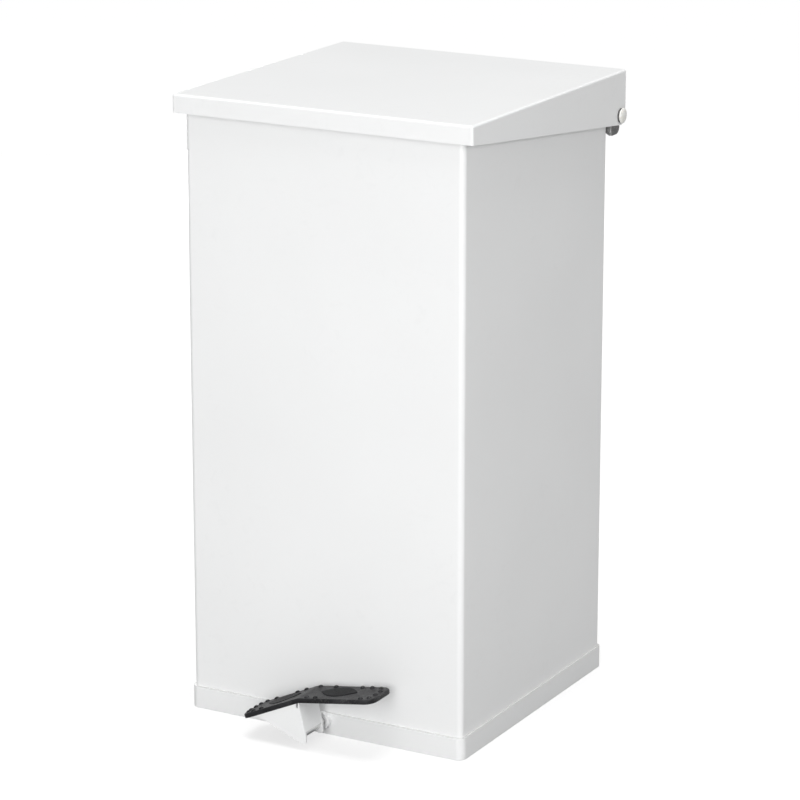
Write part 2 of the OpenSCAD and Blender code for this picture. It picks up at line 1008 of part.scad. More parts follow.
base_pan();
body_shell();
floor_pan();
liner();
front_bearing();
rear_bearing_bracket();
rear_bush();
bearing_screws();
hinge_bracket(-1);  // hinge_bracket_left
hinge_bracket(1);  // hinge_bracket_right
hinge_bolt(-1);  // hinge_bolt_left
hinge_bolt(1);  // hinge_bolt_right
hinge_cap(-1);  // hinge_cap_left
hinge_cap(1);  // hinge_cap_right
hinge_nuts();
hinge_spacers();
bracket_rivets();
rod_guide(guide_z[0]);  // rod_guide_lower
rod_guide(guide_z[1]);  // rod_guide_upper
guide_rivets();
lid_buffers();
pedal_shaft();
pedal_bracket();
pedal_plate();
pedal_pad();
shaft_collar();
crank_arm();
roll_pins();
crank_pin();
crank_pin_clip();
lift_rod();
rod_foot();
rod_head();
lid_shell();
lid_lever();
lever_pin();
lever_pin_clip();
lid_bush(-1);  // lid_bush_left
lid_bush(1);  // lid_bush_right
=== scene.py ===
import json
import math

import bmesh
import bpy
from mathutils import Matrix, Vector


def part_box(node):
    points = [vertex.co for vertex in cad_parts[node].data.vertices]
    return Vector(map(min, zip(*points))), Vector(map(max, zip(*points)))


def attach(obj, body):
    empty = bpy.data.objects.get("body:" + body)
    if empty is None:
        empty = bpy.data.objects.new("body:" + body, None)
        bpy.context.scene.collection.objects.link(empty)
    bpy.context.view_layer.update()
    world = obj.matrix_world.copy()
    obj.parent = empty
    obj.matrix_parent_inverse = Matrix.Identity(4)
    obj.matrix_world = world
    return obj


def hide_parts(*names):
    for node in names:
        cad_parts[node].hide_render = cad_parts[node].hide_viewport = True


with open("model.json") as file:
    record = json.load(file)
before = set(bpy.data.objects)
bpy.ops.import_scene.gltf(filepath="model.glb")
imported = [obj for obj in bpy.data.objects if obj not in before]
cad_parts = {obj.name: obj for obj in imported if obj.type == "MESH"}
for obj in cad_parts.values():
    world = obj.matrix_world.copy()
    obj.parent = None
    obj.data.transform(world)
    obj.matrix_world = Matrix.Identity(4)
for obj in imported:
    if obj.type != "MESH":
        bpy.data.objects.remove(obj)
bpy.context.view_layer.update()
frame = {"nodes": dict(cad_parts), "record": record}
print("frame loaded with", len(frame["nodes"]), "nodes")

perMetre = 1000.0       # pieces are modelled in millimetres and scaled down at the end
sharpAngle = 38         # edges sharper than this stay crisp, in degrees
foldAngle = 1.0         # faces that meet at more than this make a fold, in radians
closeBy = 0.01          # places nearer than this count as one, in millimetres
facing = 0.9            # a face looks along an axis when its normal reaches this
cornerSegments = 6      # steps round an upright corner of the casing, plinth and liner


def cadBox(node):
    low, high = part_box(node)
    return low * perMetre, high * perMetre


def newObject(name, data):
    thing = bpy.data.objects.new(name, data)
    bpy.context.scene.collection.objects.link(thing)
    return thing


def ofKind(parts, kind):
    return [part for part in parts if isinstance(part, kind)]


def addBox(bm, low, high):
    made = bmesh.ops.create_cube(bm, size=1.0)["verts"]
    low, high = Vector(low), Vector(high)
    bmesh.ops.scale(bm, vec=high - low, verts=made)
    bmesh.ops.translate(bm, vec=(low + high) / 2, verts=made)
    return made


def edgesOf(verts):                 # each edge once, in the order of the vertices
    return list(dict.fromkeys(edge for vert in verts for edge in vert.link_edges))


def edgesAlong(edges, axis):        # edges that run along X, Y or Z (0, 1 or 2)
    found = []
    for edge in edges:
        run = edge.verts[1].co - edge.verts[0].co
        if abs(run[axis]) > 0.999 * run.length:
            found.append(edge)
    return found


def isFold(edge, angle=foldAngle):
    return edge.is_manifold and edge.calc_face_angle() > angle


def edgesAt(bm, axis, place):       # edges with both ends at one place on an axis
    return [e for e in bm.edges if all(abs(v.co[axis] - place) < closeBy for v in e.verts)]


def foldsAt(bm, z):
    return [e for e in edgesAt(bm, 2, z) if isFold(e)]


def rimsAt(bm, z):                  # open edges at one height
    return [e for e in edgesAt(bm, 2, z) if e.is_boundary]


def roundOff(bm, parts, radius, segments=2, affect="EDGES"):
    bmesh.ops.bevel(bm, geom=parts, offset=radius, offset_type="OFFSET", segments=segments,
                    profile=0.5, affect=affect, clamp_overlap=True, material=-1)


def easeSharpEdges(bm, radius, angle=50):
    bm.normal_update()
    roundOff(bm, [e for e in bm.edges if isFold(e, math.radians(angle))], radius)
    # rounding that found no room leaves points on top of each other
    bmesh.ops.remove_doubles(bm, verts=bm.verts, dist=0.001)


def addTube(bm, low, high, radius, footOpen=True):      # upright square tube, open at the top
    before = set(bm.faces)
    made = addBox(bm, low, high)
    roundOff(bm, edgesAlong(edgesOf(made), 2), radius, cornerSegments)
    bm.normal_update()
    ends = [f for f in bm.faces if f not in before
            and (f.normal.z > facing or footOpen and f.normal.z < -facing)]
    bmesh.ops.delete(bm, geom=ends, context="FACES_ONLY")
    return [f for f in bm.faces if f not in before]


def cutAcross(bm, point, normal, picks):        # cuts only the faces whose middles a test picks
    faces = [f for f in bm.faces if picks(f.calc_center_median())]
    parts = dict.fromkeys(faces)
    for face in faces:
        parts.update(dict.fromkeys([*face.edges, *face.verts]))
    bmesh.ops.bisect_plane(bm, geom=list(parts), dist=0.001, plane_co=point, plane_no=normal)


def dropFaces(bm, picks):
    gone = [f for f in bm.faces if picks(f.calc_center_median())]
    bmesh.ops.delete(bm, geom=gone, context="FACES")


def extrudeBy(bm, faces, move):
    grown = bmesh.ops.extrude_face_region(bm, geom=faces)["geom"]
    bmesh.ops.translate(bm, vec=move, verts=ofKind(grown, bmesh.types.BMVert))
    return grown


def openCheek(bm, x, middle, reach, radius, run=0.0):   # round or long hole in a flat side at x
    onCheek = lambda c: abs(c.x - x) < 0.05
    for axis in (1, 2):             # a patch in Y and Z that the hole lies in
        for hand in (-1, 1):
            point, normal = [x, *middle], [0, 0, 0]
            point[axis] += hand * reach[axis - 1]
            normal[axis] = 1
            cutAcross(bm, point, normal, onCheek)
    inPatch = lambda c: onCheek(c) and all(abs(c[i + 1] - middle[i]) < reach[i] for i in (0, 1))
    patch = [f for f in bm.faces if inPatch(f.calc_center_median())]
    outline = [e for f in patch for e in f.edges]
    bmesh.ops.delete(bm, geom=patch, context="FACES_ONLY")
    # four sides of eight edges each, to meet the 32 of the ring
    split = bmesh.ops.subdivide_edges(bm, edges=outline, cuts=7)["geom_split"]
    ring = bmesh.ops.create_circle(bm, radius=radius, segments=32)["verts"]
    place = Matrix.Translation((x, *middle)) @ Matrix.Rotation(math.pi / 2, 4, "Y")
    bmesh.ops.transform(bm, matrix=place, verts=ring)
    for vert in ring:
        if abs(vert.co.y - middle[0]) > closeBy:
            vert.co.y += math.copysign(run, vert.co.y - middle[0])
    bmesh.ops.bridge_loops(bm, edges=ofKind(split, bmesh.types.BMEdge) + edgesOf(ring))


def thicken(bm, sheet):             # gives a skin its wall, inwards
    bm.normal_update()
    bmesh.ops.solidify(bm, geom=bm.faces[:], thickness=sheet)


def spunMesh(profile, axis, centre, steps, corner=0.0):
    # profile: distances along the axis and out from it, in order
    bm = bmesh.new()
    verts = [bm.verts.new(Vector(centre) + Vector(axis) * along + Vector((0, 0, out)))
             for along, out in profile]
    closed = all(out > 0 for along, out in profile)
    for i in range(len(verts) - (0 if closed else 1)):
        bm.edges.new((verts[i], verts[(i + 1) % len(verts)]))
    if corner:
        turns = [v for v in verts if len(v.link_edges) == 2]
        roundOff(bm, turns, corner, 3, "VERTICES")
    bmesh.ops.spin(bm, geom=bm.verts[:] + bm.edges[:], cent=centre, axis=axis,
                   angle=math.tau, steps=steps, use_merge=True)
    bmesh.ops.remove_doubles(bm, verts=bm.verts, dist=0.001)
    bmesh.ops.recalc_face_normals(bm, faces=bm.faces)
    return bm


def mirrorInX(bm):
    bmesh.ops.scale(bm, vec=(-1, 1, 1), verts=bm.verts)
    bmesh.ops.reverse_faces(bm, faces=bm.faces)


def keepPiece(bm, name, body, slotName, material, *nodes):
    bmesh.ops.scale(bm, vec=(1 / perMetre,) * 3, verts=bm.verts)
    mesh = bpy.data.meshes.new(name)
    bm.to_mesh(mesh)
    bm.free()
    for polygon in mesh.polygons:
        polygon.use_smooth = True
    mesh.set_sharp_from_angle(angle=math.radians(sharpAngle))
    mesh.materials.append(material)
    piece = newObject(name, mesh)
    shading = piece.modifiers.new("evenShading", "WEIGHTED_NORMAL")
    shading.keep_sharp = True
    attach(piece, body)
    if nodes:
        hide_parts(*nodes)


def setInputs(node, values):
    for key, value in values.items():
        node.inputs[key].default_value = value


def addNode(tree, kind, values={}, **settings):
    node = tree.nodes.new(kind)
    for key, value in settings.items():
        setattr(node, key, value)
    setInputs(node, values)
    return node


def placeGroup(tree, group, values):
    return addNode(tree, "ShaderNodeGroup", values, node_tree=group)


def newGroup(name, inputs, outputs):
    tree = bpy.data.node_groups.new(name, "ShaderNodeTree")
    for label, kind, value in inputs:
        socket = tree.interface.new_socket(name=label, in_out="INPUT", socket_type=kind)
        socket.default_value = value
    for label, kind in outputs:
        tree.interface.new_socket(name=label, in_out="OUTPUT", socket_type=kind)
    return tree, tree.nodes.new("NodeGroupInput"), tree.nodes.new("NodeGroupOutput")


def newMaterial(name, values):
    material = bpy.data.materials.new(name)
    material.use_nodes = True
    tree = material.node_tree
    shader = tree.nodes["Principled BSDF"]
    setInputs(shader, values)
    return material, tree, shader


def objectPlace(tree):
    return tree.nodes.new("ShaderNodeTexCoord").outputs["Object"]


def mixColours(tree, factor, first, second):
    mix = addNode(tree, "ShaderNodeMix", data_type="RGBA", blend_type="MIX")
    for socket, value in ((0, factor), (6, first), (7, second)):
        if isinstance(value, bpy.types.NodeSocket):
            tree.links.new(value, mix.inputs[socket])
        else:
            mix.inputs[socket].default_value = value
    return mix.outputs[2]


def stretch(tree, socket, source, target=(0.0, 1.0)):   # maps one range of values onto another
    node = addNode(tree, "ShaderNodeMapRange", {"From Min": source[0], "From Max": source[1],
                                                "To Min": target[0], "To Max": target[1]})
    tree.links.new(socket, node.inputs["Value"])
    return node.outputs["Result"]


def buildSurfaceGrain():            # fine relief and a slow swell, for paint, rubber and plastic
    tree, given, out = newGroup(
        "surfaceGrain",
        [("Grain Scale", "NodeSocketFloat", 600.0), ("Grain Depth", "NodeSocketFloat", 0.00001),
         ("Swell Scale", "NodeSocketFloat", 7.0), ("Swell Depth", "NodeSocketFloat", 0.0002)],
        [("Normal", "NodeSocketVector"), ("Grain", "NodeSocketFloat"),
         ("Swell", "NodeSocketFloat")])
    place = objectPlace(tree)
    grain = addNode(tree, "ShaderNodeTexNoise", {"Detail": 2.0, "Roughness": 0.55})
    swell = addNode(tree, "ShaderNodeTexNoise", {"Detail": 1.0})
    tree.links.new(place, grain.inputs["Vector"])
    tree.links.new(place, swell.inputs["Vector"])
    tree.links.new(given.outputs["Grain Scale"], grain.inputs["Scale"])
    tree.links.new(given.outputs["Swell Scale"], swell.inputs["Scale"])
    low = addNode(tree, "ShaderNodeBump", {"Strength": 1.0})
    high = addNode(tree, "ShaderNodeBump", {"Strength": 1.0})
    tree.links.new(given.outputs["Swell Depth"], low.inputs["Distance"])
    tree.links.new(given.outputs["Grain Depth"], high.inputs["Distance"])
    tree.links.new(swell.outputs["Fac"], low.inputs["Height"])
    tree.links.new(grain.outputs["Fac"], high.inputs["Height"])
    tree.links.new(low.outputs["Normal"], high.inputs["Normal"])
    tree.links.new(high.outputs["Normal"], out.inputs["Normal"])
    tree.links.new(grain.outputs["Fac"], out.inputs["Grain"])
    tree.links.new(swell.outputs["Fac"], out.inputs["Swell"])
    return tree


# noise values between which a streak or a rubbed patch fades in
scuffLook = {"streaks": (0.56, 0.7), "patches": (0.42, 0.66), "patchScale": 9.0, "waver": 1.6}


def buildScuffs():                  # short random scratches inside rubbed patches
    tree, given, out = newGroup(
        "scuffs",
        [("Scale", "NodeSocketFloat", 30.0), ("Amount", "NodeSocketFloat", 0.5)],
        [("Mask", "NodeSocketFloat")])
    place = objectPlace(tree)
    streaks = addNode(tree, "ShaderNodeTexNoise", {"Detail": 4.0, "Distortion": scuffLook["waver"]})
    patches = addNode(tree, "ShaderNodeTexNoise", {"Scale": scuffLook["patchScale"], "Detail": 2.0})
    tree.links.new(place, streaks.inputs["Vector"])
    tree.links.new(place, patches.inputs["Vector"])
    tree.links.new(given.outputs["Scale"], streaks.inputs["Scale"])
    fine = stretch(tree, streaks.outputs["Fac"], scuffLook["streaks"])
    broad = stretch(tree, patches.outputs["Fac"], scuffLook["patches"])
    both = addNode(tree, "ShaderNodeMath", operation="MULTIPLY")
    tree.links.new(fine, both.inputs[0])
    tree.links.new(broad, both.inputs[1])
    share = addNode(tree, "ShaderNodeMath", operation="MULTIPLY")
    tree.links.new(both.outputs[0], share.inputs[0])
    tree.links.new(given.outputs["Amount"], share.inputs[1])
    tree.links.new(share.outputs[0], out.inputs["Mask"])
    return tree


spangleLook = {"driftScale": 60.0, "driftShare": 0.012, "relief": 0.00006}


def buildSpangle():                 # zinc crystals of hot-dip galvanised sheet
    tree, given, out = newGroup(
        "spangle",
        [("Crystal Scale", "NodeSocketFloat", 90.0)],
        [("Tone", "NodeSocketFloat"), ("Normal", "NodeSocketVector")])
    place = objectPlace(tree)
    drift = addNode(tree, "ShaderNodeTexNoise", {"Scale": spangleLook["driftScale"], "Detail": 2.0})
    tree.links.new(place, drift.inputs["Vector"])
    bent = addNode(tree, "ShaderNodeMix", {0: spangleLook["driftShare"]}, data_type="VECTOR")
    tree.links.new(place, bent.inputs[4])
    tree.links.new(drift.outputs["Color"], bent.inputs[5])
    cells = addNode(tree, "ShaderNodeTexVoronoi")
    tree.links.new(bent.outputs[1], cells.inputs["Vector"])
    tree.links.new(given.outputs["Crystal Scale"], cells.inputs["Scale"])
    tone = addNode(tree, "ShaderNodeSeparateColor")
    tree.links.new(cells.outputs["Color"], tone.inputs["Color"])
    relief = addNode(tree, "ShaderNodeBump", {"Strength": 0.5, "Distance": spangleLook["relief"]})
    tree.links.new(cells.outputs["Distance"], relief.inputs["Height"])
    tree.links.new(tone.outputs["Red"], out.inputs["Tone"])
    tree.links.new(relief.outputs["Normal"], out.inputs["Normal"])
    return tree


def buildDrawnLines():              # fine lines drawn along one axis of a metal piece
    tree, given, out = newGroup(
        "drawnLines",
        [("Stretch", "NodeSocketVector", (1.0, 1.0, 1.0)), ("Depth", "NodeSocketFloat", 0.00001)],
        [("Lines", "NodeSocketFloat"), ("Normal", "NodeSocketVector")])
    scaled = addNode(tree, "ShaderNodeVectorMath", operation="MULTIPLY")
    tree.links.new(objectPlace(tree), scaled.inputs[0])
    tree.links.new(given.outputs["Stretch"], scaled.inputs[1])
    lines = addNode(tree, "ShaderNodeTexNoise", {"Scale": 1.0, "Detail": 3.0})
    tree.links.new(scaled.outputs["Vector"], lines.inputs["Vector"])
    relief = addNode(tree, "ShaderNodeBump", {"Strength": 0.6})
    tree.links.new(given.outputs["Depth"], relief.inputs["Distance"])
    tree.links.new(lines.outputs["Fac"], relief.inputs["Height"])
    tree.links.new(lines.outputs["Fac"], out.inputs["Lines"])
    tree.links.new(relief.outputs["Normal"], out.inputs["Normal"])
    return tree


surfaceGrain = buildSurfaceGrain()
scuffs = buildScuffs()
spangle = buildSpangle()
drawnLines = buildDrawnLines()

softRange = (0.3, 0.7)          # nearly all of a noise lies between these, so its tones stay soft
firmRange = (0.35, 0.65)        # a narrower range, for more contrast


def placeGrain(tree, finish):
    return placeGroup(tree, surfaceGrain, {
        "Grain Scale": finish["grainScale"], "Grain Depth": finish["grainDepth"],
        "Swell Scale": finish["swellScale"], "Swell Depth": finish["swellDepth"]})


def placeScuffs(tree, finish):
    marks = placeGroup(tree, scuffs, {"Scale": finish["scuffScale"],
                                      "Amount": finish["scuffAmount"]})
    return marks.outputs["Mask"]


def feedShader(tree, shader, colour, roughness, normal):
    for label, socket in (("Base Color", colour), ("Roughness", roughness), ("Normal", normal)):
        tree.links.new(socket, shader.inputs[label])


# the last two entries are a darker, dust-coloured grey and the heights where it covers the plinth's
# top ledge: painted shade that tones down the ledge's highlight
whitePaint = {"clean": (0.83, 0.835, 0.835, 1), "dull": (0.775, 0.78, 0.78, 1), "dullShare": 0.35,
              "roughness": 0.36, "scuffRoughness": 0.12, "scuffScale": 55.0, "scuffAmount": 0.35,
              "grainScale": 520.0, "grainDepth": 0.000012, "swellScale": 5.0, "swellDepth": 0.0004,
              "dust": (0.6, 0.6, 0.595, 1), "ledgeShadeHeight": (0.0286, 0.0288)}


def makeWhitePaint(name, dustyAndShaded=False):      # the flag paints the plinth pan's top edge a darker, dust-coloured grey: painted shade that tones down its highlight
    finish = whitePaint
    material, tree, shader = newMaterial(name, {"Specular IOR Level": 0.5})
    peel = placeGrain(tree, finish)
    rubbed = placeScuffs(tree, finish)
    shade = stretch(tree, peel.outputs["Swell"], softRange, (0.0, finish["dullShare"]))
    toned = mixColours(tree, shade, finish["clean"], finish["dull"])
    marked = mixColours(tree, rubbed, toned, finish["dull"])
    # painted shade: above a set height the plinth's top ledge turns a darker, dust-coloured grey,
    # which tones down the highlight the lights put there
    if dustyAndShaded:
        place = addNode(tree, "ShaderNodeSeparateXYZ")
        tree.links.new(objectPlace(tree), place.inputs[0])
        ledgeShade = stretch(tree, place.outputs["Z"], finish["ledgeShadeHeight"])
        marked = mixColours(tree, ledgeShade, marked, finish["dust"])
    gloss = addNode(tree, "ShaderNodeMath", {1: finish["scuffRoughness"], 2: finish["roughness"]},
                    operation="MULTIPLY_ADD")
    tree.links.new(rubbed, gloss.inputs[0])
    feedShader(tree, shader, marked, gloss.outputs[0], peel.outputs["Normal"])
    return material


rubberFinish = {"fresh": (0.012, 0.012, 0.013, 1), "worn": (0.026, 0.026, 0.028, 1),
                "dust": (0.1, 0.098, 0.095, 1), "scuffScale": 160.0, "scuffAmount": 0.9,
                "shine": 0.2, "roughness": (0.3, 0.54), "grainScale": 900.0, "grainDepth": 0.00004,
                "swellScale": 60.0, "swellDepth": 0.00012}
smoothRubberFinish = {**rubberFinish, "fresh": (0.006, 0.006, 0.007, 1),
                      "worn": (0.01, 0.01, 0.011, 1), "dust": (0.03, 0.03, 0.03, 1),
                      "scuffAmount": 0.3, "shine": 0.06, "roughness": (0.35, 0.59),
                      "grainDepth": 0.00001}


def makeRubber(name, finish):
    material, tree, shader = newMaterial(name, {"Specular IOR Level": finish["shine"]})
    grain = placeGrain(tree, finish)
    dustyAndShaded = placeScuffs(tree, finish)
    tone = stretch(tree, grain.outputs["Swell"], firmRange)
    base = mixColours(tree, tone, finish["fresh"], finish["worn"])
    colour = mixColours(tree, dustyAndShaded, base, finish["dust"])
    gloss = stretch(tree, grain.outputs["Grain"], softRange, finish["roughness"])
    feedShader(tree, shader, colour, gloss, grain.outputs["Normal"])
    return material


galvanisedFinish = {"light": (0.74, 0.75, 0.76, 1), "dark": (0.56, 0.57, 0.59, 1),
                    "stain": (0.62, 0.63, 0.63, 1), "scuffScale": 24.0, "scuffAmount": 0.5,
                    "crystals": 95.0, "metallic": 0.5, "roughness": (0.46, 0.3)}
dullZincFinish = {**galvanisedFinish, "light": (0.24, 0.24, 0.24, 1),
                  "dark": (0.17, 0.17, 0.17, 1), "stain": (0.2, 0.2, 0.195, 1),
                  "crystals": 160.0, "metallic": 0.4}


def makeZincSheet(name, finish):
    material, tree, shader = newMaterial(name, {"Metallic": finish["metallic"]})
    zinc = placeGroup(tree, spangle, {"Crystal Scale": finish["crystals"]})
    stained = placeScuffs(tree, finish)
    base = mixColours(tree, zinc.outputs["Tone"], finish["dark"], finish["light"])
    colour = mixColours(tree, stained, base, finish["stain"])
    gloss = stretch(tree, zinc.outputs["Tone"], (0.0, 1.0), finish["roughness"])
    feedShader(tree, shader, colour, gloss, zinc.outputs["Normal"])
    return material


# across and along: how closely the drawn lines vary in those directions
steelFinish = {"light": (0.82, 0.82, 0.81, 1), "dark": (0.6, 0.6, 0.6, 1), "across": 900.0,
               "along": 25.0, "lineDepth": 0.00002, "scuffScale": 120.0, "scuffAmount": 0.6,
               "roughness": (0.26, 0.42)}


def makeSteel(name, axis):          # zinc-plated steel with lines along X, Y or Z (0, 1 or 2)
    finish = steelFinish
    material, tree, shader = newMaterial(name, {"Metallic": 1.0})
    lines = [finish["across"]] * 3
    lines[axis] = finish["along"]
    drawn = placeGroup(tree, drawnLines, {"Stretch": lines, "Depth": finish["lineDepth"]})
    rubbed = placeScuffs(tree, finish)
    tone = mixColours(tree, drawn.outputs["Lines"], finish["dark"], finish["light"])
    colour = mixColours(tree, rubbed, tone, finish["dark"])
    gloss = stretch(tree, drawn.outputs["Lines"], softRange, finish["roughness"])
    feedShader(tree, shader, colour, gloss, drawn.outputs["Normal"])
    return material


# through: how much light passes into the plastic, and how far
plasticFinish = {"grainScale": 1100.0, "grainDepth": 0.000012, "swellScale": 70.0,
                 "swellDepth": 0.00006, "throughDepth": 0.002, "throughTint": (1.0, 0.9, 0.75)}
nylonFinish = {**plasticFinish, "light": (0.76, 0.75, 0.7, 1), "dark": (0.69, 0.68, 0.62, 1),
               "roughness": (0.37, 0.5), "through": 0.25}
greyNylonFinish = {**plasticFinish, "light": (0.16, 0.16, 0.16, 1), "dark": (0.12, 0.12, 0.12, 1),
                   "roughness": (0.4, 0.53), "through": 0.0}
creamCapFinish = {**plasticFinish, "light": (0.84, 0.83, 0.8, 1), "dark": (0.79, 0.78, 0.74, 1),
                  "roughness": (0.25, 0.38), "through": 0.15}


def makePlastic(name, finish):
    material, tree, shader = newMaterial(name, {
        "Subsurface Weight": finish["through"], "Subsurface Scale": finish["throughDepth"],
        "Subsurface Radius": finish["throughTint"]})
    grain = placeGrain(tree, finish)
    flow = stretch(tree, grain.outputs["Swell"], firmRange)
    colour = mixColours(tree, flow, finish["light"], finish["dark"])
    gloss = stretch(tree, grain.outputs["Grain"], softRange, finish["roughness"])
    feedShader(tree, shader, colour, gloss, grain.outputs["Normal"])
    return material


paint = makeWhitePaint("whitePowderCoat")
plinthPaint = makeWhitePaint("plinthPowderCoat", dustyAndShaded=True)
rubber = makeRubber("mouldedRubber", rubberFinish)
smoothRubber = makeRubber("smoothRubber", smoothRubberFinish)
galvanised = makeZincSheet("galvanisedSheet", galvanisedFinish)
dullZinc = makeZincSheet("dullZinc", dullZincFinish)
steelAlongY = makeSteel("zincPlatedShaft", 1)
steelAlongX = makeSteel("zincPlatedBolt", 0)
steelAlongZ = makeSteel("zincPlatedRod", 2)
nylon = makePlastic("naturalNylon", nylonFinish)
greyNylon = makePlastic("greyNylon", greyNylonFinish)
capPlastic = makePlastic("creamCap", creamCapFinish)
print("materials made:", len(bpy.data.materials))


casing = {"corner": 7, "sheet": 1, "ease": 0.25, "mouthHalf": 175, "mouthCorner": 5, "lip": 12,
          "bend": 1.5, "bendSegments": 3, "notch": (-58, -32), "notchFoot": 712, "seamHalf": 7,
          "seamFoot": 29, "seamTop": 750, "seamBuried": 0.5, "seamRound": 0.4, "weldPitch": 80,
          "weldRadius": 2.6, "weldSunk": 0.15, "weldEdge": 0.9, "weldRise": 0.12}


def addSeam(bm, wall, back):        # lap seam down the back wall, with its spot welds
    half, foot, head = casing["seamHalf"], casing["seamFoot"], casing["seamTop"]
    seam = addBox(bm, (-half, wall - casing["seamBuried"], foot), (half, back, head))
    front = [e for e in edgesOf(seam) if all(abs(v.co.y - back) < closeBy for v in e.verts)]
    roundOff(bm, front, casing["seamRound"])
    for i in range(int((head - foot) / casing["weldPitch"])):
        z = foot + casing["weldPitch"] * (i + 0.5)
        ring = bmesh.ops.create_circle(bm, cap_ends=True, radius=casing["weldRadius"], segments=16)
        place = Matrix.Translation((0, back - casing["weldSunk"], z))
        bmesh.ops.transform(bm, matrix=place @ Matrix.Rotation(math.pi / 2, 4, "X"),
                            verts=ring["verts"])
        disc = ring["verts"][0].link_faces[0]
        if disc.normal.y < 0:
            bmesh.ops.reverse_faces(bm, faces=[disc])
        bmesh.ops.inset_region(bm, faces=[disc], thickness=casing["weldEdge"],
                               depth=casing["weldRise"])


def buildCasing():
    low, high = cadBox("body_shell")
    half, top, mouthHalf = high.x, high.z, casing["mouthHalf"]
    bm = bmesh.new()
    addTube(bm, (-half, -half, low.z), (half, half, top), casing["corner"])
    mouth = addTube(bm, (-mouthHalf, -mouthHalf, top - casing["lip"]), (mouthHalf, mouthHalf, top),
                    casing["mouthCorner"])
    bmesh.ops.reverse_faces(bm, faces=mouth)
    bmesh.ops.bridge_loops(bm, edges=rimsAt(bm, top))
    bm.normal_update()
    roundOff(bm, foldsAt(bm, top), casing["bend"], casing["bendSegments"])
    # slot for the lid's lever, through the back wall and its folded rim
    left, right = casing["notch"]
    atBack = lambda c: c.y > mouthHalf - casing["sheet"]
    inNotch = lambda c: atBack(c) and left < c.x < right
    for x in (left, right):
        cutAcross(bm, (x, 0, 0), (1, 0, 0), atBack)
    cutAcross(bm, (0, 0, casing["notchFoot"]), (0, 0, 1), inNotch)
    dropFaces(bm, lambda c: inNotch(c) and c.z > casing["notchFoot"])
    thicken(bm, casing["sheet"])
    easeSharpEdges(bm, casing["ease"])
    addSeam(bm, half, high.y)
    keepPiece(bm, "casingSheet", "casing", "white_paint", paint, "body_shell")


plinth = {"wall": 2.9, "floor": 1.5, "corner": 10, "bevel": 0.3, "foot": 0.8}


def buildPlinth():
    low, high = cadBox("base_pan")
    wall = plinth["wall"]
    bm = bmesh.new()
    addTube(bm, low, high, plinth["corner"], footOpen=False)
    inner = addTube(bm, low + Vector((wall, wall, plinth["floor"])),
                    high - Vector((wall, wall, 0)), plinth["corner"] - wall)
    bmesh.ops.reverse_faces(bm, faces=inner)
    bmesh.ops.bridge_loops(bm, edges=rimsAt(bm, high.z))
    bmesh.ops.contextual_create(bm, geom=[e for e in bm.edges if e.is_boundary])
    bmesh.ops.recalc_face_normals(bm, faces=bm.faces)
    isOuter = lambda v: max(abs(v.co.x), abs(v.co.y)) > high.x - wall + 0.1
    outer = [e for e in foldsAt(bm, high.z) if all(isOuter(v) for v in e.verts)]
    roundOff(bm, outer, plinth["bevel"])
    roundOff(bm, foldsAt(bm, low.z), plinth["foot"])
    keepPiece(bm, "plinthPan", "casing", "white_paint", plinthPaint, "base_pan")


linerShape = {"wallHalf": 172, "corner": 14, "foot": 3, "footSegments": 3, "sheet": 0.8,
              "ease": 0.2, "rimCorner": 18, "rimDrop": 10, "gripLong": 100, "gripHigh": 26,
              "gripZ": 746, "gripMargin": 8, "notch": (-60, -30)}


def buildLiner():
    low, high = cadBox("liner")
    half, edge, top = linerShape["wallHalf"], high.x, high.z
    bm = bmesh.new()
    addTube(bm, (-half, -half, low.z), (half, half, top), linerShape["corner"], footOpen=False)
    # hand grips through the two side walls
    bend, margin = linerShape["gripHigh"] / 2, linerShape["gripMargin"]
    run = linerShape["gripLong"] / 2 - bend
    for side in (-1, 1):
        openCheek(bm, side * half, (0, linerShape["gripZ"]),
                  (run + bend + margin, bend + margin), bend, run)
    # the rim reaches out to a guide tube, which is taken away again
    guide = addTube(bm, (-edge, -edge, top - linerShape["rimDrop"]), (edge, edge, top),
                    linerShape["rimCorner"])
    bmesh.ops.bridge_loops(bm, edges=rimsAt(bm, top))
    bmesh.ops.delete(bm, geom=[f for f in guide if f.is_valid], context="FACES")
    bmesh.ops.recalc_face_normals(bm, faces=bm.faces)
    bm.normal_update()
    floor = min(bm.faces, key=lambda f: f.calc_center_median().z)
    if floor.normal.z > 0:
        bmesh.ops.reverse_faces(bm, faces=bm.faces)
    roundOff(bm, foldsAt(bm, low.z), linerShape["foot"], linerShape["footSegments"])
    # the rim is notched where the lid's lever passes
    left, right = linerShape["notch"]
    onRim = lambda c: c.y > half + 0.5 and c.z > top - 0.5
    for x in (left, right):
        cutAcross(bm, (x, 0, 0), (1, 0, 0), onRim)
    dropFaces(bm, lambda c: onRim(c) and left < c.x < right)
    thicken(bm, linerShape["sheet"])
    easeSharpEdges(bm, linerShape["ease"])
    keepPiece(bm, "linerBin", "casing", "galvanised", galvanised, "liner")


buildCasing()
buildPlinth()
buildLiner()
print("casing, plinth and liner made")


# fall: slope of the sides' lower edges, in degrees
lidShape = {"sheet": 1, "ease": 0.25, "bend": 3.0, "bendSegments": 5, "lip": 23.5, "fall": 6.5,
            "backRound": 14, "backCuts": 9, "backLip": 37, "backStub": 4, "hinge": (200, 736),
            "bushRadius": 6, "bushPatch": 8}


